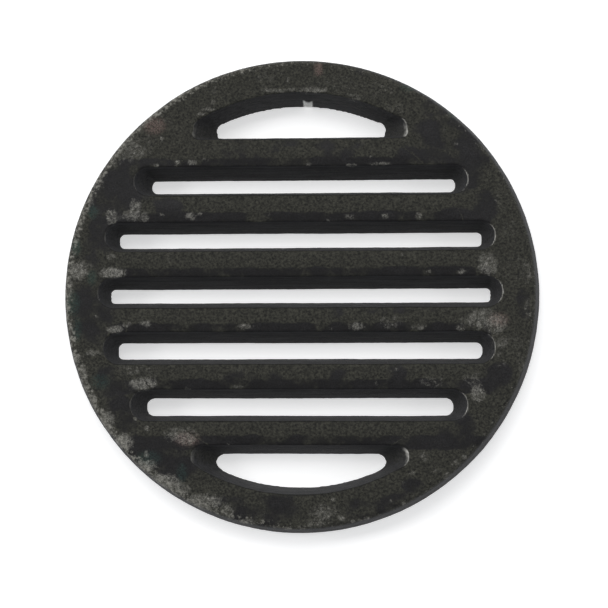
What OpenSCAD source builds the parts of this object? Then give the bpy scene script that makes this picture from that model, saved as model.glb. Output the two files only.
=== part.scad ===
// Round slotted cover for a gully or a small manhole, cast in grey iron and painted black.
// The origin is the centre of the underside. +Z points up to the walked-on face, and +X runs along
// the bars. The rim and the six bars are poured together, so they meet face to face at join_r.

/* [Cover] */
// Overall diameter, measured at the underside
cover_d = 203; // [185:1:320]
// Thickness, from the underside to the walked-on face
cover_h = 15; // [10:0.5:30]
// Width of the solid rim, from the overall diameter to the slot tips in the walked-on face
rim_w = 17; // [12:0.5:24]

/* [Outer wall] */
// Height of the straight land that stands in the frame's rebate
land_h = 4; // [1:0.5:8]
// How far the outer wall leans in between the land and the walked-on face
wall_draft = 2.6; // [0.5:0.1:5]
// Radius of the shoulder around the walked-on face
shoulder_r = 2.5; // [0.5:0.1:3.5]

/* [Bars and slots] */
// Width of a bar at the walked-on face
bar_w = 10.2; // [6:0.1:13]
// Width of a slot at the walked-on face
slot_w = 13.3; // [11:0.1:16]
// How far each wall of an opening leans in between the walked-on face and the underside
slot_draft = 3.3; // [0.5:0.1:4.2]

/* [Segment openings] */
// Height of a segment opening's blunt end at the walked-on face
end_h_top = 7.2; // [4:0.1:9]
// Height of a segment opening's blunt end at the underside
end_h_bottom = 5.5; // [3:0.1:7]

/* [Hidden] */
$fn = 96;
iron_black = "#2b2c29";
bar_count = 6;
over = 1; // how far a cutter runs past the faces that it opens
join_back = 0.3; // how far inside the first slot rounding the bars meet the rim
blunt_share = 0.6; // most of a segment opening's height that its blunt ends may take

cover_r = cover_d / 2;
pitch = bar_w + slot_w;
draft_rate = slot_draft / cover_h; // lean of an opening's wall for each millimetre of height
tip_r = cover_r - rim_w; // circle that the slot tips reach in the walked-on face
outer_bar_y = (bar_count - 1) / 2 * pitch;
chord_top_y = outer_bar_y + bar_w / 2; // straight side of a segment opening in the walked-on face
chord_bottom_y = chord_top_y + slot_draft; // the same side in the underside
slot_ys = [for (i = [1 : bar_count - 1]) (bar_count / 2 - i) * pitch];

// Middle of bar i, counted from the +Y side.
function bar_y(i) = ((bar_count + 1) / 2 - i) * pitch;

// Half-chord of a circle of radius r at a distance y from its centre.
function half_chord(r, y) = sqrt(r * r - y * y);

// Centre of a slot's rounded end, for the slot at a distance y from the middle one.
function slot_end_x(y) = half_chord(tip_r, y) - slot_w / 2;

// Half-length of a segment opening with its arc at r, its straight side at chord_y and blunt ends of
// height end_h, which shrink where the opening itself is low.
function seg_half(r, chord_y, end_h) =
    half_chord(r, chord_y + min(end_h, blunt_share * (r - chord_y)));

// The same at the walked-on face and at the underside.
seg_half_top = seg_half(tip_r, chord_top_y, end_h_top);
seg_half_bottom = seg_half(tip_r - slot_draft, chord_bottom_y, end_h_bottom);

// The bars are straight as far as join_r, because the slots' rounded ends and the corners of the
// segment openings all start outside it.
rounding_starts = [for (y = slot_ys) norm([slot_end_x(y), max(abs(y) - slot_w / 2, 0)])];
segment_corners = [norm([seg_half_top, chord_top_y]), norm([seg_half_bottom, chord_bottom_y])];
join_r = min(concat(rounding_starts, segment_corners)) - join_back;

// A value that changes evenly with height, from low at the underside to high at the walked-on face.
function at_height(low, high, z) = low + (high - low) * z / cover_h;

// Section of a bar, with a side leaning out towards the underside on each edge.
module bar_section() {
    polygon([
        [-bar_w / 2 - slot_draft, 0],
        [bar_w / 2 + slot_draft, 0],
        [bar_w / 2, cover_h],
        [-bar_w / 2, cover_h]
    ]);
}

// Section of an opening that leans from half_low at the underside to half_high at the top, cut past
// both faces at the same slope.
module opening_section(half_low, half_high) {
    low = at_height(half_low, half_high, -over);
    high = at_height(half_low, half_high, cover_h + over);
    polygon([[-low, -over], [low, -over], [high, cover_h + over], [-high, cover_h + over]]);
}

// Stands a section in the YZ plane up and runs it along X, with its middle at X = 0.
module along_x(length) {
    rotate([90, 0, 90])
        linear_extrude(height = length, center = true)
            children();
}

// Stands a section in the XZ plane up and runs it along +Y from Y = 0.
module along_y(length) {
    translate([0, length, 0])
        rotate([90, 0, 0])
            linear_extrude(height = length)
                children();
}

// A cone with the draft of the openings, of radius top_r at the walked-on face.
module drafted_cone(top_r) {
    translate([0, 0, -over])
        cylinder(
            r1 = top_r - slot_draft - over * draft_rate,
            r2 = top_r + over * draft_rate,
            h = cover_h + 2 * over
        );
}

// One straight slot with round ends, at a distance y from the centre line.
module slot_cut(y) {
    translate([0, y, 0]) {
        along_x(2 * slot_end_x(y))
            opening_section(slot_w / 2 - slot_draft, slot_w / 2);
        for (side = [-1, 1])
            translate([side * slot_end_x(y), 0, 0])
                drafted_cone(slot_w / 2);
    }
}

// The circle segment between the outermost bar and the rim, on the +Y side.
module segment_cut() {
    intersection() {
        drafted_cone(tip_r);
        along_y(cover_r)
            opening_section(seg_half_bottom, seg_half_top);
        translate([0, outer_bar_y, 0])
            along_x(cover_d)
                polygon([
                    [bar_w / 2 + slot_draft + over * draft_rate, -over],
                    [cover_r, -over],
                    [cover_r, cover_h + over],
                    [bar_w / 2 - over * draft_rate, cover_h + over]
                ]);
    }
}

// Section of the rim: a straight land, a leaning wall, a round shoulder and the flat faces.
module rim_section() {
    lean = atan2(wall_draft, cover_h - land_h);
    corner = 90 + lean;
    tangent = shoulder_r / tan(corner / 2);
    edge_r = cover_r - wall_draft;
    centre = [edge_r - tangent, cover_h - shoulder_r];
    polygon([
        [join_r, 0],
        [cover_r, 0],
        [cover_r, land_h],
        centre + shoulder_r * [cos(lean), sin(lean)],
        centre,
        [centre[0], cover_h],
        [join_r, cover_h]
    ]);
    translate(centre)
        circle(r = shoulder_r);
}

// The solid ring, with the rounded slot ends and both segment openings cut into it.
module rim() {
    color(iron_black)
        difference() {
            rotate_extrude()
                rim_section();
            for (y = slot_ys)
                slot_cut(y);
            for (side = [0, 1])
                mirror([0, side, 0])
                    segment_cut();
        }
}

// One straight bar, ending on the cylinder where it runs into the rim.
module bar(i) {
    color(iron_black)
        intersection() {
            translate([0, bar_y(i), 0])
                along_x(cover_d)
                    bar_section();
            cylinder(r = join_r, h = cover_h);
        }
}

rim();
bar(1);  // bar_1
bar(2);  // bar_2
bar(3);  // bar_3
bar(4);  // bar_4
bar(5);  // bar_5
bar(6);  // bar_6
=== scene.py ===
import math

import bmesh
import bpy
import numpy as np
from mathutils import Matrix, Vector


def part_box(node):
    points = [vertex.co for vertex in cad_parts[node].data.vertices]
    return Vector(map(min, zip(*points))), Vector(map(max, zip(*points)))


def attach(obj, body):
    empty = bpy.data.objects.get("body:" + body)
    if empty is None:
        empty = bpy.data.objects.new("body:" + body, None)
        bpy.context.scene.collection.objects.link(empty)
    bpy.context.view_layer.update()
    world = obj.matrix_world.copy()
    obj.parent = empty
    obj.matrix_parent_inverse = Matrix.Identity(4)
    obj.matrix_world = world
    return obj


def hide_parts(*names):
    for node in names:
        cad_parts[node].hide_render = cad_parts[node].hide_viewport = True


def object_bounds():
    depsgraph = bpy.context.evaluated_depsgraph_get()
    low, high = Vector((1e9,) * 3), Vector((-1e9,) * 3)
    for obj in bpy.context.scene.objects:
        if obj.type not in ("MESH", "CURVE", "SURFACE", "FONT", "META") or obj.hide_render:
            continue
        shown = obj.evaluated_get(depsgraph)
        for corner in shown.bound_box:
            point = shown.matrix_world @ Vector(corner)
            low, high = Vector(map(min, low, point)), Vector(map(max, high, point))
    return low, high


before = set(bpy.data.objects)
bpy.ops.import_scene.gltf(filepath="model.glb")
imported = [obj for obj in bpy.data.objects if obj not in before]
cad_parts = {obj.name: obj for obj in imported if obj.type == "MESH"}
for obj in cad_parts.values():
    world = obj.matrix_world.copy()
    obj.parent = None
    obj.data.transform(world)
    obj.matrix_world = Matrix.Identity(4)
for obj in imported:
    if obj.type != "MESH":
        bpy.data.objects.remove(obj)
cad_low, cad_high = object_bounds()


# ---------------------------------------------------------------------------------------------------
# Blank. The cover as the mould alone would give it, with no openings: grey iron poured in green sand.
# A straight land stands in the frame's rebate, the wall above it leans in, and a round shoulder leads
# to the walked-on face. The two halves of the mould met 0.3 mm out of line in x and in y.
MM = 0.001
thick = cad_high.z
cover_r = cad_high.x
land_h = 4 * MM
wall_lean = 2.6 * MM
face_r = cover_r - wall_lean
shoulder_w = 1.98 * MM
mould_shift = Vector((-0.3, -0.3, 0)) * MM
round_sides = 256


def take(piece):
    """Leaves this piece alone selected and active."""
    bpy.ops.object.select_all(action="DESELECT")
    piece.select_set(True)
    bpy.context.view_layer.objects.active = piece


def start(name):
    """Names the primitive just added, puts its place into its mesh, and opens it in edit mode."""
    piece = bpy.context.object
    piece.name = name
    bpy.ops.object.transform_apply()
    bpy.ops.object.mode_set(mode="EDIT")
    return piece


def pick(test):
    """Selects, in edit mode, all that lies between the vertices whose place passes the test."""
    bpy.ops.mesh.select_all(action="DESELECT")
    shape = bmesh.from_edit_mesh(bpy.context.object.data)
    for vertex in shape.verts:
        vertex.select_set(test(vertex.co))
    shape.select_flush(True)
    bmesh.update_edit_mesh(bpy.context.object.data)


def work(piece, kind, **settings):
    """Gives the piece one modifier with these settings, and applies it."""
    step = piece.modifiers.new("step", kind)
    for setting, value in settings.items():
        setattr(step, setting, value)
    take(piece)
    bpy.ops.object.modifier_apply(modifier=step.name)


bpy.ops.object.select_all(action="DESELECT")
bpy.ops.mesh.primitive_cylinder_add(
    vertices=round_sides, radius=cover_r, depth=land_h, location=(0, 0, land_h / 2)
)
casting = start("casting")
pick(lambda co: co.z > land_h / 2)
bpy.ops.mesh.extrude_region_move(
    TRANSFORM_OT_translate={"value": mould_shift + Vector((0, 0, thick - land_h))}
)
bpy.ops.transform.resize(value=(face_r / cover_r, face_r / cover_r, 1), center_override=mould_shift)
bpy.ops.mesh.bevel(offset=shoulder_w, segments=8, affect="EDGES")
bpy.ops.object.mode_set(mode="OBJECT")


# ---------------------------------------------------------------------------------------------------
# Slots. Five straight slots with round ends, left by blocks that stood up from the pattern. Their
# walls lean in towards the underside so that the pattern could be drawn out of the sand, and each
# block was filed by hand, so no two slots are quite the same width or length.
core_sides = 48
slots = (
    # on the face: middle, half width, tips; underneath: the same, and the radius of its corners
    ((47.1, 6.20, -70.8, 71.0), (46.8, 2.70, -64.5, 66.2, 2.1)),
    ((23.2, 6.20, -82.7, 82.2), (23.1, 2.82, -78.4, 77.4, 1.6)),
    ((-0.4, 6.55, -85.5, 85.0), (-0.9, 2.78, -82.0, 80.9, 1.4)),
    ((-24.0, 6.80, -82.9, 81.6), (-24.6, 3.25, -78.6, 77.1, 2.2)),
    ((-47.9, 6.65, -71.2, 70.0), (-48.5, 3.50, -65.8, 64.5, 2.8)),
)


def run_past_faces():
    """Draws both caps of the open core on by 1 mm, past the faces that it opens."""
    for side in (1, -1):
        pick(lambda co: (co.z - thick / 2) * side > 0)
        bpy.ops.mesh.extrude_region_move(TRANSFORM_OT_translate={"value": (0, 0, side * MM)})


def carve(core):
    """Takes the finished core's shape out of the casting."""
    bpy.ops.object.mode_set(mode="OBJECT")
    work(casting, "BOOLEAN", operation="DIFFERENCE", solver="MANIFOLD", object=core)
    bpy.data.objects.remove(core)


for face, under in slots:
    face_y, face_half, face_left, face_right = face
    under_y, under_half, under_left, under_right, corner_r = under
    spare = under_half - corner_r
    # one core is as wide as the slot underneath; the two beside it have the corners' own radius
    for low_r, low_y in (
        (under_half, under_y),
        (corner_r, under_y - spare),
        (corner_r, under_y + spare),
    ):
        bpy.ops.object.select_all(action="DESELECT")
        bpy.ops.mesh.primitive_cone_add(
            vertices=core_sides,
            radius1=low_r * MM,
            radius2=face_half * MM,
            depth=thick,
            location=(0, face_y * MM, thick / 2),
            rotation=(0, 0, math.pi / core_sides),
        )
        core = start("slot_core")
        for upper, side, reach, drift in (
            (True, -1, face_left + face_half, 0),
            (True, 1, face_right - face_half, 0),
            (False, -1, under_left + low_r, low_y - face_y),
            (False, 1, under_right - low_r, low_y - face_y),
        ):
            pick(lambda co: co.x * side > 0 and (co.z > thick / 2) == upper)
            bpy.ops.transform.translate(value=(reach * MM, drift * MM, 0))
        run_past_faces()
        carve(core)


# ---------------------------------------------------------------------------------------------------
# Segment openings. One circle segment beyond the outermost bar on each side, left by loose blocks on
# the pattern. The straight side and the arc lean in like the slots' walls, and the blunt ends, which
# are rounded, lean in more than twice as far.

# on the face, a blunt end leaves the straight side at end_x, and meets the arc at arc_x, arc_rise away
end_x = 40.9
arc_x = 43.3
arc_rise = 8.6
segments = (
    # side, arc radius and straight side on the face, the same underneath and half the straight
    # side's length there, then each corner's radius and place along x, on the face and underneath
    (1, 85.4, 64.9, 82.1, 68.4, 33.2, ((4.7, end_x, 3.2, 33.2), (2.6, arc_x, 1.0, 35.2))),
    (-1, 84.8, 64.5, 82.1, 68.6, 31.5, ((4.7, end_x, 3.2, 32.6),)),
)


def trim(on_plane, outward):
    """Cuts off what lies beyond a plane, and closes the cut with one face."""
    bpy.ops.mesh.select_all(action="SELECT")
    bpy.ops.mesh.bisect(
        plane_co=on_plane, plane_no=Vector(outward).normalized(), clear_outer=True
    )
    bpy.ops.mesh.select_all(action="DESELECT")
    bpy.ops.mesh.select_non_manifold()
    bpy.ops.mesh.edge_face_add()


for side, face_arc, face_chord, under_arc, under_chord, under_end, corners in segments:
    bpy.ops.object.select_all(action="DESELECT")
    bpy.ops.mesh.primitive_cone_add(
        vertices=round_sides,
        radius1=under_arc * MM,
        radius2=face_arc * MM,
        depth=thick,
        location=(mould_shift.x, mould_shift.y, thick / 2),
    )
    core = start("segment_core")
    run_past_faces()
    slope = (under_chord - face_chord) * MM
    trim((0, side * face_chord * MM, thick), (0, -side * thick, -slope))
    for end in (-1, 1):
        foot = Vector((end * end_x, side * face_chord, thick / MM)) * MM
        arc_touch = Vector((end * arc_x, side * (face_chord + arc_rise), thick / MM)) * MM
        low_foot = Vector((end * under_end, side * under_chord, 0)) * MM
        outward = (arc_touch - foot).cross(low_foot - foot) * (1 / MM) ** 2
        if outward.x * end < 0:
            outward.negate()
        trim(foot, outward)
    carve(core)
    for end in (-1, 1):
        for corner_r, corner_x, low_r, low_x in corners:
            bpy.ops.object.select_all(action="DESELECT")
            bpy.ops.mesh.primitive_cone_add(
                vertices=core_sides,
                radius1=low_r * MM,
                radius2=corner_r * MM,
                depth=thick,
                location=(end * corner_x * MM, side * (face_chord + corner_r) * MM, thick / 2),
            )
            core = start("end_core")
            pick(lambda co: co.z < thick / 2)
            rise = under_chord + low_r - face_chord - corner_r
            bpy.ops.transform.translate(value=(end * (low_x - corner_x) * MM, side * rise * MM, 0))
            run_past_faces()
            carve(core)


# ---------------------------------------------------------------------------------------------------
# Cast skin. What the mould, the knock-out and the years leave on the iron: soft edges, bars a little
# crowned, a sandy skin, and the stub of the gate that was knocked off the wall of one segment
# opening. The whole casting gets it before it is parted, so that it runs through every piece.
bpy.ops.object.select_all(action="DESELECT")
bpy.ops.mesh.primitive_ico_sphere_add(subdivisions=3, radius=MM)
stub = bpy.context.object
# a ball of 1 mm radius, so these are the stub's half sizes in millimetres
stub.scale = (2.6, 1.9, 3.4)
stub.location = (3.0 * MM, 83.1 * MM, 3.2 * MM)
start("gate_stub")
bpy.ops.mesh.select_all(action="SELECT")
bpy.ops.transform.vertex_random(offset=0.7 * MM, seed=4)
# it stops just above the underside, and both its sides broke off nearly straight
stub_foot = 0.2 * MM
stub_left = 1.2 * MM
stub_right = 4.9 * MM
trim((0, 0, stub_foot), (0, 0, -1))
trim((stub_left, 0, 0), (-1, 0, 0.15))
trim((stub_right, 0, 0), (1, 0, 0.1))
bpy.ops.object.mode_set(mode="OBJECT")
take(casting)
stub.select_set(True)
bpy.ops.object.join()

work(casting, "REMESH", mode="VOXEL", voxel_size=0.55 * MM)
work(casting, "SMOOTH", factor=0.5, iterations=5)


def ramp(value, low, high):
    """0 at low and 1 at high, turning smoothly between them."""
    share = np.clip((value - low) / (high - low), 0, 1)
    return share * share * (3 - 2 * share)


def places(piece):
    """Every vertex's place, in millimetres."""
    flat = np.empty(len(piece.data.vertices) * 3, np.float32)
    piece.data.vertices.foreach_get("co", flat)
    return flat.reshape(-1, 3) / MM


# the bars sag from their middles to their edges, and the crown dies out where they meet the ring
ring_r = 72.0
outermost = 66
crown_steps = 20
x, y, z = places(casting).T
bar_middles = [sum(corner.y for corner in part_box(f"bar_{n}")) / 2 / MM for n in range(1, 7)]
off_bars = [y - middle - 0.5 * mould_shift.y / MM for middle in bar_middles]
off_bar = np.choose(np.argmin(np.abs(off_bars), axis=0), off_bars)
bar_end = np.sqrt(np.maximum(ring_r**2 - y**2, 0))
on_bar = (1 - ramp(np.abs(x), bar_end - 3, bar_end + 9)) * (np.abs(y) < outermost)
sag = on_bar * ramp(np.abs(off_bar), 0.5, 7) * ramp(z, 8, 14.5)
crown = casting.vertex_groups.new(name="crown")
for step in range(1, crown_steps + 1):
    members = np.nonzero(np.round(sag * crown_steps) == step)[0]
    crown.add(members.tolist(), step / crown_steps, "REPLACE")
work(
    casting,
    "DISPLACE",
    direction="Z",
    mid_level=0,
    strength=-0.65 * MM,
    vertex_group="crown",
)

for name, size, depth, octaves in (
    # grain and depth in millimetres
    ("sway", 22, 0.30, 2),
    ("lumps", 5, 0.16, 2),
    ("sand", 1.3, 0.10, 1),
):
    skin = bpy.data.textures.new(name, "CLOUDS")
    skin.noise_scale = size * MM
    skin.noise_depth = octaves
    work(casting, "DISPLACE", texture=skin, texture_coords="LOCAL", strength=depth * MM)

# the skin has moved the faces a little, so the casting is brought back to the cover's own size
take(casting)
low, high = places(casting).min(axis=0) * MM, places(casting).max(axis=0) * MM
casting.scale = [
    (cad_high[axis] - cad_low[axis]) / float(high[axis] - low[axis]) for axis in range(3)
]
casting.location = [cad_low[axis] - float(low[axis]) * casting.scale[axis] for axis in range(3)]
bpy.ops.object.transform_apply()
kept_triangles = 330000
work(casting, "TRIANGULATE")
work(casting, "DECIMATE", ratio=kept_triangles / len(casting.data.polygons))
bpy.ops.object.shade_smooth()


# ---------------------------------------------------------------------------------------------------
# Wear, and painted light. Where feet, water and handling have changed the paint: patches rubbed down to
# grey iron, zones where it lies thick and smooth, a worn outer shoulder, rust, verdigris, a broken gate.
# Painted with it: painted shade on each bar's -Y side, painted highlights on the arrises at the slot
# ends and on the break, and a dark line along the openings' -Y edges.
# Each blot is middle x and y, half width, half height and strength, in millimetres.
x, y, z = places(casting).T
on_face = ramp(z, 8, 13)
normals = np.empty(len(casting.data.vertices) * 3, np.float32)
casting.data.vertices.foreach_get("normal", normals)
faces_x, faces_y, faces_z = normals.reshape(-1, 3).T


def blots(spots):
    """How far each vertex lies inside the blots on the walked-on face, from 0 to 1."""
    share = np.zeros(len(x))
    for middle_x, middle_y, wide, high, strength in spots:
        away = np.hypot((x - middle_x) / wide, (y - middle_y) / high)
        share = np.maximum(share, strength * (1 - ramp(away, 0.5, 1.4)))
    return share * on_face


def mark(name, share):
    """Keeps a number from 0 to 1 at each vertex, for the finish to read."""
    kept = casting.data.attributes.new(name, "FLOAT", "POINT")
    kept.data.foreach_set("value", share.astype(np.float32))


rubbed = (
    # rim and bar ends on the -X side
    (-72, 61, 8, 6, 0.65), (-66, 64, 6, 8, 0.4), (-62, 74, 9, 4, 0.4), (-79, 56, 4, 5, 0.5),
    (-80, 32, 3, 4, 0.75), (-70, 32.5, 7, 3, 0.8), (-70, 36, 3, 4, 0.75), (-66, 31, 2, 1.5, 0.8),
    (-86, 47, 3, 6, 0.5), (-93, 32, 2, 8, 0.55), (-89, 39, 2, 3, 0.6), (-94, 9, 5, 5, 0.85),
    (-97, 2, 2, 6, 0.6), (-90, 11, 3, 2, 0.5), (-79, 8, 6.5, 2.5, 1.0), (-80, 15, 2.5, 1.5, 0.7),
    (-78, -16, 4, 2, 0.9), (-73, -14, 2.5, 1.5, 0.7), (-65, -13.5, 3, 1.8, 0.75),
    (-86, -10.5, 1, 1, 0.8), (-96, -28, 5, 2.5, 0.9), (-87, -26, 4, 1.5, 0.75),
    (-91, -38, 2.5, 8, 0.7), (-66, -39, 7, 3.5, 0.85), (-70, -33, 8, 3, 0.5), (-62, -34, 4, 3, 0.4),
    (-75, -32, 2.5, 1.5, 0.6), (-87, -47, 2.5, 5, 0.7), (-81, -55, 4, 6, 0.8), (-74, -63, 5, 4, 0.9),
    (-64, -68.5, 1.5, 2, 0.7), (-57, -80, 8, 4, 0.9), (-40, -88, 9, 4, 0.85), (-50, -83, 5, 4, 0.8),
    (-64, -73, 5, 3, 0.9),
    (-30, -92, 3, 4, 0.7), (-22, -96, 4, 1.5, 0.7), (-5, -99, 2, 1, 0.8), (-69, -53.5, 1, 1, 0.9),
    (-64, -57.5, 0.9, 1.6, 0.9), (-50, -60, 8, 4, 0.7), (-47, -62.5, 4, 2.5, 0.85),
    # spots along the bars
    (-46, 32, 3, 2, 0.8), (-42.5, 33, 1.2, 1, 0.7), (-58.5, 33, 1.2, 1, 0.7), (-13, 32.5, 1, 0.8, 0.6),
    (-52, 55, 1.5, 1.5, 0.9), (-46, 55, 2.8, 1.3, 0.85), (-40, 56, 2, 1.5, 0.6), (-61, 54, 1.5, 1, 0.7),
    (-59, 65.5, 0.8, 0.8, 1.0), (-55, 14, 2, 3, 0.4), (-23, -15, 3.5, 1.5, 0.75), (-26, -40, 2.5, 1, 0.65),
    (-47, -41, 3, 0.8, 0.6), (-26, -33, 4, 1.5, 0.4), (4, 54, 1.5, 1, 0.8), (22, 53.5, 2.5, 0.8, 0.8),
    (34, 54, 6, 0.9, 0.75), (30, 57, 0.9, 1, 0.8), (21, 31.5, 2.5, 1.5, 0.65), (36, 31.5, 2, 1.6, 0.7),
    (50, 31.5, 2.2, 1.8, 0.7), (13, 30, 3, 0.8, 0.5), (43, 15, 0.8, 1.2, 0.6), (54, 8, 1.2, 0.9, 0.9),
    (68, 7.8, 2, 1.6, 0.75), (24, -15, 4, 2, 0.75), (13, -16, 1, 0.8, 0.7), (38, -13, 6, 3, 0.5),
    (50, -15.5, 4, 1.6, 0.65), (36, -16, 1, 1, 0.7), (55, -38, 6, 3.5, 0.5), (40, -33, 4, 1.5, 0.35),
    (32, -38.5, 1.2, 1.5, 0.5), (-30, -64, 0.7, 0.7, 0.7),
    # the +X side
    (79, 11, 5, 5.5, 0.8), (90, 9, 6, 8, 0.35), (76, -12, 7, 5, 0.8), (82, -14, 5, 5, 0.75),
    (69, -13, 3, 4, 0.45), (67, -16, 2.5, 1.5, 0.75), (84, -22, 4, 3, 0.65), (89, -22, 5, 5, 0.4),
    (83, -27, 1.2, 1.2, 0.8), (84, -31, 3, 1.5, 0.5), (72, -37, 5, 4, 0.5), (74, -43, 3.5, 4.5, 0.8),
    (85, 38, 4, 5, 0.4), (88, 26, 4, 5, 0.4), (95, 8, 2.5, 6, 0.55), (95.5, -8, 2, 7, 0.5),
    (92, -30, 2, 6, 0.5), (66, 62, 1, 1, 0.7), (61, 68, 1, 1, 0.5),
    (52, -69, 2.5, 2.5, 0.65), (57, -75, 3, 2, 0.5), (47, -76, 2.5, 1.2, 0.6), (68, -69.5, 1.5, 1.2, 0.8),
    (61, -77, 2.5, 2, 0.6), (64, -72, 2, 2, 0.6), (43, -80, 1, 0.8, 0.8), (55, -84, 5, 2, 0.45),
    # top and bottom of the rim
    (-8, 86, 10, 1.2, 0.75), (6, 86, 8, 1.5, 0.8), (-15, 91, 4, 4, 0.45), (-5, 90.5, 1, 1.5, 0.7),
    (-10, 94, 10, 4, 0.3), (18, 88, 14, 6, 0.35), (24, 82.5, 4, 2, 0.65), (35, 86, 8, 5, 0.35),
    (-37, 81, 1.5, 1.5, 0.7), (-39, 78, 3.5, 1.2, 0.7), (-42, 76, 2, 1, 0.8), (-28, 94, 6, 2, 0.5),
    (-36, 86, 2, 3, 0.4), (40, 78, 6, 3, 0.45), (10, -92, 7, 4, 0.65), (6, -96.5, 4, 2.5, 0.6),
    (17.5, -94.5, 1.8, 1.4, 0.85), (14, -87, 1.2, 1.2, 0.7), (28, -94.5, 1.5, 0.8, 0.8),
    (22, -96, 1, 1, 0.7), (43, -88.5, 1.2, 0.9, 0.8), (38, -87.5, 1, 1, 0.7), (-15, -94, 8, 3, 0.3),
)
thick_paint = (
    (-78, 44, 14, 13, 1), (-70, 48, 10, 8, 1), (-84, 25, 9, 8, 1), (-87, -8, 10, 16, 1),
    (-80, -38, 9, 7, 0.8), (-73, -52, 9, 9, 1), (-60, -68, 12, 7, 1), (-50, -74, 9, 6, 1),
    (-14, -92, 16, 9, 0.9), (25, -91, 14, 5, 0.75), (40, -87, 8, 4, 0.8), (47, -81, 5, 4, 0.9),
    (66, -58, 9, 9, 0.9), (83, -36, 6, 7, 0.9), (94, -5, 4, 8, 0.7), (62, 66, 15, 9, 1),
    (70, 50, 12, 10, 1), (78, 36, 6, 9, 0.9), (58, 78, 8, 6, 0.8), (30, 93, 8, 2.5, 0.5),
    (-30, 60, 5, 6, 0.8), (-49, 58, 5, 3, 0.6), (17, 58, 8, 4, 0.8), (52, 56, 14, 6, 1),
    (-56, 36, 7, 5, 0.9), (66, 31, 12, 4, 0.9), (52, 5, 12, 3, 0.8), (-49, -12, 5, 5, 0.6),
    (14, -9, 8, 3, 0.6), (44, -8.5, 24, 1.8, 0.7), (-20, -38, 18, 5, 0.8), (18, -36, 7, 4, 0.7),
    (40, -35, 6, 5, 0.8), (-10, 63, 30, 2, 0.6), (8, -58, 5, 4, 0.5), (-8, -12, 6, 5, 0.3),
    (-20, 60, 14, 5, 0.7), (14, 62, 16, 3, 0.7), (-90, 10, 5, 20, 0.7), (-30, -88, 8, 4, 0.6),
)
rust = ((-62, 71, 4.5, 3.5, 0.8), (8, 95, 1.8, 3, 1), (83, -12.5, 4, 3, 0.6), (-47, -62, 5, 3, 0.6))
verdigris = (
    (-88, 34, 2, 3, 0.9), (-95, 19, 2, 3.5, 0.8), (-88, 6, 2, 3, 0.8), (-96, -5, 3, 5, 0.8),
    (-94, -16, 2, 5, 0.6), (-84, -38, 4, 3, 0.6), (-63, -70, 5, 3, 0.6), (-49, -76, 2, 4, 0.6),
    (46, 87, 3, 2, 0.7), (66, 76, 3, 3, 0.6),
)
# along each bar's -Y side, away from the key lamp: a dark smooth strip, part thick paint, part painted
# shade
off_middles = y[None, :] - np.array(bar_middles)[:, None]
thick_and_shaded_strips = ramp(-off_middles, 0.6, 2.6) * (np.abs(off_middles) < 8)
thick_and_shaded_strip = thick_and_shaded_strips.max(axis=0) * (np.abs(x) < 80)
mark("rubbed", blots(rubbed))
mark("thick_paint", np.maximum(blots(thick_paint), thick_and_shaded_strip * on_face))
mark("rust", blots(rust))
mark("verdigris", blots(verdigris))

# The rim's worn shoulder, a dark line along the openings' -Y edges, painted highlights on the arrises
# at the openings' ends where the side lamps glint, and the break of the gate, bare iron painted nearly
# white, partly as a painted highlight. Places are in millimetres, and faces_z is 1 where the surface
# faces up and 0 on a wall.
from_axis = np.hypot(x, y)
outer_edge = ramp(z, 9, 12) * ramp(from_axis, 94, 97.5) * ramp(faces_z, 0.15, 0.5)
mark("shoulder", outer_edge * (0.7 - 0.3 * ramp(x, -60, 40)))
lip = ramp(z, 12.5, 13.5) * ramp(faces_z, 0.45, 0.65) * (1 - ramp(faces_z, 0.78, 0.93))
lip = lip * (from_axis < 90)
# a thin dark line on the top arris of the walls that face +Y, along the openings' -Y edges
mark("dark_lip_line", lip * ramp(faces_y, 0.3, 0.5))
# painted highlight: light colour on the arrises facing -X at the +X ends, fainter at the -X ends
right_end_glints = ramp(-faces_x, 0.38, 0.6) * (x > 40)
left_end_glints = 0.25 * ramp(faces_x, 0.45, 0.7) * (x < -40)
mark("painted_arris_glint", lip * (right_end_glints + left_end_glints))
# the gate's break: bare broken iron, painted nearly white so that the colour also holds a painted
# highlight
break_x = 3.1
break_y = 82
break_z = 2.6
from_break = np.maximum(np.abs(x - break_x) / 2.1, np.abs(z - break_z) / 4.2)
mark("broken_iron_and_glint", (1 - ramp(from_break, 0.8, 1.05)) * (np.abs(y - break_y) < 3))


# ---------------------------------------------------------------------------------------------------
# Rim. The ring that carries the slots' round ends and both segment openings. It is the casting outside
# the cylinder where the bars stop being straight, dipped in black bitumen paint with the rest.
parting_r = math.hypot(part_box("bar_3")[1].x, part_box("bar_3")[0].y)


def part(operation, name):
    """A copy of the casting, kept only inside or outside the parting cylinder."""
    bpy.ops.object.select_all(action="DESELECT")
    bpy.ops.mesh.primitive_cylinder_add(
        vertices=round_sides, radius=parting_r, depth=4 * thick, calc_uvs=False
    )
    cylinder = bpy.context.object
    take(casting)
    bpy.ops.object.duplicate()
    piece = bpy.context.object
    piece.name = name
    work(piece, "BOOLEAN", operation=operation, solver="MANIFOLD", object=cylinder)
    bpy.data.objects.remove(cylinder)
    return piece


def linear(code):
    """An sRGB hex colour as the linear colour that a node takes."""
    parts = [int(code[at : at + 2], 16) / 255 for at in (1, 3, 5)]
    return [c / 12.92 if c < 0.04045 else ((c + 0.055) / 1.055) ** 2.4 for c in parts] + [1]


# Bitumen-painted grey iron, sand cast: a thin black coat, olive where it has weathered to a fine matt
# speckle and violet-black where it lies thick and smooth, over a grain of about half a millimetre.
# The speckle is drawn as coarse as a millimetre, because a finer one does not show.
painted_iron = bpy.data.materials.new("bitumen_painted_cast_iron")
painted_iron.use_nodes = True
tree = painted_iron.node_tree
coat = tree.nodes["Principled BSDF"]


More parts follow.
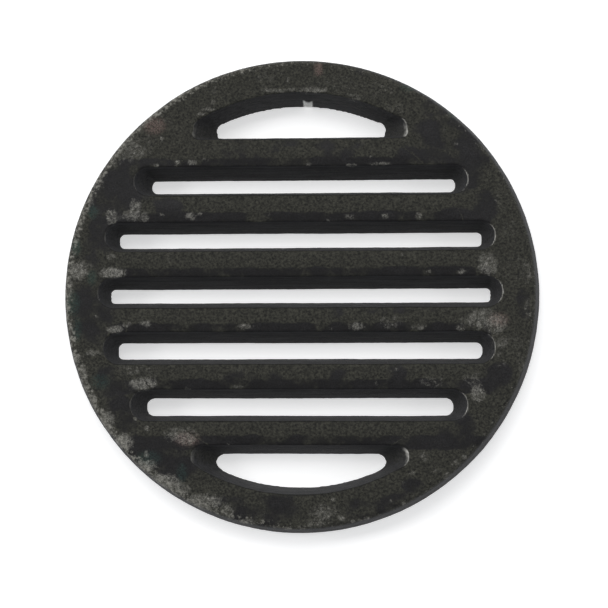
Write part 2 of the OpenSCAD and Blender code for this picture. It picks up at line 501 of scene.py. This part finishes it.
def add(kind, sources, output=0, **settings):
    """Adds a node with its settings, numbers, colours and links, and gives one of its outputs."""
    made = tree.nodes.new("ShaderNode" + kind)
    for setting, value in settings.items():
        setattr(made, setting, value)
    for socket, source in sources.items():
        if isinstance(source, bpy.types.NodeSocket):
            tree.links.new(source, made.inputs[socket])
        else:
            made.inputs[socket].default_value = source
    return made.outputs[output]


# the walls of the openings are told from the flat faces by how nearly upright they stand
facing = add("SeparateXYZ", {0: add("TexCoord", {}, "Normal")}, "Z")
level = add("Math", {0: facing}, operation="ABSOLUTE")
flat = add("MapRange", {0: level, 1: 0.35, 2: 0.8}, interpolation_type="SMOOTHSTEP")
wall = add("Math", {0: 1.0, 1: flat}, operation="SUBTRACT")

in_mm = add("Mapping", {"Vector": add("TexCoord", {}, "Object"), "Scale": (1 / MM, 1 / MM, 1 / MM)})
along_bars = add("Mapping", {"Vector": in_mm, "Scale": (0.04, 1, 1)})
grain = {}
for name, source, size, detail, rough, spread in (
    # size in millimetres; of each noise the middle, this much to each side, is stretched from 0 to 1
    ("fleck", in_mm, 1.0, 4, 0.7, 0.12),
    ("grit", in_mm, 0.6, 3, 0.7, 0.12),
    ("mottle", in_mm, 9, 3, 0.6, 0.2),
    ("patch", in_mm, 5, 4, 0.6, 0.15),
    ("drag", along_bars, 0.9, 3, 0.6, 0.2),
    ("scuff", in_mm, 1.7, 6, 0.8, 0.2),
    ("scour", in_mm, 1.6, 5, 0.75, 0.2),
    ("chip", in_mm, 3, 3, 0.6, 0.2),
):
    noise = add("TexNoise", {"Vector": source, "Scale": 1 / size, "Detail": detail, "Roughness": rough})
    grain[name] = add("MapRange", {0: noise, 1: 0.5 - spread, 2: 0.5 + spread})

wear = {}
for name in ("dark_lip_line", "painted_arris_glint", "broken_iron_and_glint", "rust", "verdigris"):
    wear[name] = add("Attribute", {}, "Fac", attribute_name=name)
for name, noise, reach, soft in (
    # these show where the kept mark, its reach and the noise together pass 1, with a soft border
    ("thick_paint", "mottle", 0.06, 0.6),
    ("rubbed", "scuff", 0.16, 1.0),
    ("shoulder", "scour", -0.05, 0.5),
):
    kept = add("Attribute", {}, "Fac", attribute_name=name)
    reached = add("Math", {0: kept, 1: reach}, operation="ADD")
    both = add("Math", {0: reached, 1: grain[noise]}, operation="ADD")
    wear[name] = add("MapRange", {0: both, 1: 1.0, 2: 1.0 + soft}, interpolation_type="SMOOTHSTEP")

smooth_share = add("Math", {0: grain["mottle"], 1: grain["grit"]}, operation="MULTIPLY")
tone = {}
for name, share, dark, light in (
    ("weathered", grain["fleck"], "#050504", "#424139"),
    ("smooth", smooth_share, "#0c0b0c", "#242324"),
    ("sides", grain["drag"], "#272728", "#424244"),
    ("grey_iron", grain["grit"], "#45443f", "#918f88"),
    # near-white bare iron at the gate's break, partly a painted highlight
    ("bright_iron_and_glint", grain["fleck"], "#dadad6", "#f6f6f4"),
):
    tone[name] = add("Mix", {0: share, 6: linear(dark), 7: linear(light)}, 2, data_type="RGBA")

colour = tone["weathered"]
for share, broken_by, strength, over in (
    # the layers in order: where each lies, the grain that breaks it up or 1, its strength, its colour
    (grain["grit"], 1.0, 0.45, linear("#2f2f2a")),
    (grain["patch"], 1.0, 0.3, linear("#161613")),
    # thick paint, together with the painted shade along the bars' -Y sides
    (wear["thick_paint"], 1.0, 1.0, tone["smooth"]),
    (wall, 1.0, 0.85, tone["sides"]),
    # the thin dark line along the openings' -Y edges
    (wear["dark_lip_line"], 1.0, 0.85, linear("#070707")),
    (wear["rubbed"], 1.0, 1.0, tone["grey_iron"]),
    (wear["shoulder"], 1.0, 0.8, linear("#8a8880")),
    (wear["rust"], grain["grit"], 0.5, linear("#8a736c")),
    (wear["verdigris"], grain["grit"], 0.3, linear("#2c5a52")),
    # painted highlight on the arrises at the openings' ends
    (wear["painted_arris_glint"], grain["chip"], 1.0, linear("#d6d4cd")),
    # the gate's break, bare iron with a painted highlight
    (wear["broken_iron_and_glint"], 1.0, 1.0, tone["bright_iron_and_glint"]),
):
    broken = add("Math", {0: share, 1: broken_by}, operation="MULTIPLY")
    thinned = add("Math", {0: broken, 1: strength}, operation="MULTIPLY")
    colour = add("Mix", {0: thinned, 6: colour, 7: over}, 2, data_type="RGBA")
tree.links.new(colour, coat.inputs["Base Color"])

roughness = 0.62
for share, rough in ((wear["thick_paint"], 0.55), (wall, 0.8), (wear["rubbed"], 0.6)):
    roughness = add("Mix", {0: share, 2: roughness, 3: rough})
tree.links.new(roughness, coat.inputs["Roughness"])
coat.inputs["Specular IOR Level"].default_value = 0.2

# relief in millimetres: sand grain, shallower under thick paint, a little lower where it is rubbed,
# and drag marks on the walls
sand_relief = 0.09
grit_relief = add("Math", {0: grain["grit"], 1: sand_relief}, operation="MULTIPLY")
sandy = add("Math", {0: grain["fleck"], 1: sand_relief, 2: grit_relief}, operation="MULTIPLY_ADD")
painted_over = add("Math", {0: sandy, 1: 0.35}, operation="MULTIPLY")
relief = add("Mix", {0: wear["thick_paint"], 2: sandy, 3: painted_over})
relief = add("Math", {0: wear["rubbed"], 1: -0.05, 2: relief}, operation="MULTIPLY_ADD")
dragged = add("Math", {0: grain["drag"], 1: wall}, operation="MULTIPLY")
relief = add("Math", {0: dragged, 1: 0.05, 2: relief}, operation="MULTIPLY_ADD")
bump = add("Bump", {"Height": relief, "Distance": MM, "Strength": 1.0})
tree.links.new(bump, coat.inputs["Normal"])


def fit_out(piece, node):
    """Gives a piece the casting's own shading, its paint, and its place in the frame."""
    work(
        piece,
        "DATA_TRANSFER",
        object=casting,
        use_loop_data=True,
        data_types_loops={"CUSTOM_NORMAL"},
        loop_mapping="POLYINTERP_NEAREST",
    )
    piece.data.materials.clear()
    piece.data.materials.append(painted_iron)
    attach(piece, "root")
    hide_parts(node)


rim = part("DIFFERENCE", "rim_casting")
fit_out(rim, "rim")


# ---------------------------------------------------------------------------------------------------
# Bars. Six bars across the opening, poured with the rim and wider at the underside than on the face.
# They are the casting inside the same cylinder, numbered from the +Y side.
part("INTERSECT", "bars")
bpy.ops.object.mode_set(mode="EDIT")
bpy.ops.mesh.separate(type="LOOSE")
bpy.ops.object.mode_set(mode="OBJECT")
loose = sorted(bpy.context.selected_objects, key=lambda bar: -places(bar)[:, 1].mean())
for number, bar in enumerate(loose, start=1):
    bar.name = f"bar_{number}_casting"
    fit_out(bar, f"bar_{number}")
bpy.data.objects.remove(casting)


# ---------------------------------------------------------------------------------------------------
# Stage. A plain white floor that glows a little, like a light table, so that the openings show white,
# under one large soft lamp on the far side and a small one to the left and to the right.
bpy.ops.object.select_all(action="DESELECT")
bpy.ops.mesh.primitive_plane_add(size=8)
floor = bpy.context.object
floor.name = "floor"
white = bpy.data.materials.new("white_light_table")
white.use_nodes = True
sheet = white.node_tree.nodes["Principled BSDF"].inputs
sheet["Base Color"].default_value = linear("#e7e7e7")
sheet["Roughness"].default_value = 0.9
sheet["Emission Color"].default_value = linear("#ffffff")
sheet["Emission Strength"].default_value = 0.45
floor.data.materials.append(white)


def lamp(name, width, height, watts, place):
    """A rectangular soft box at a place, turned to the middle of the cover."""
    box = bpy.data.lights.new(name, "AREA")
    box.shape = "RECTANGLE"
    box.size = width
    box.size_y = height
    box.energy = watts
    body = bpy.data.objects.new(name, box)
    bpy.context.collection.objects.link(body)
    body.location = place
    body.rotation_euler = (-Vector(place)).to_track_quat("-Z", "Y").to_euler()


lamp("key", 3.2, 2.2, 102, (-0.6, 2.4, 3.2))
lamp("left", 0.4, 0.4, 7, (-1.6, 0.25, 1.1))
lamp("right", 0.6, 0.6, 5, (1.6, 0.1, 0.8))

world = bpy.data.worlds.new("studio")
world.use_nodes = True
sky = world.node_tree.nodes["Background"].inputs
sky["Color"].default_value = (0.95, 0.97, 1, 1)
sky["Strength"].default_value = 0.43
bpy.context.scene.world = world

# the eye is almost straight above the cover, 0.6 m up
camera = bpy.data.objects.new("camera", bpy.data.cameras.new("camera"))
bpy.context.collection.objects.link(camera)
camera.location = (0.027, -0.0615, 0.605)
aim = Vector((0.0012, -0.0042, 0))
back = (camera.location - aim).normalized()
right = Vector((0, 1, 0)).cross(back).normalized()
camera.rotation_euler = Matrix((right, back.cross(right), back)).transposed().to_euler()
camera.data.lens = 83.7
bpy.context.scene.camera = camera
bpy.context.scene.view_settings.view_transform = "Standard"
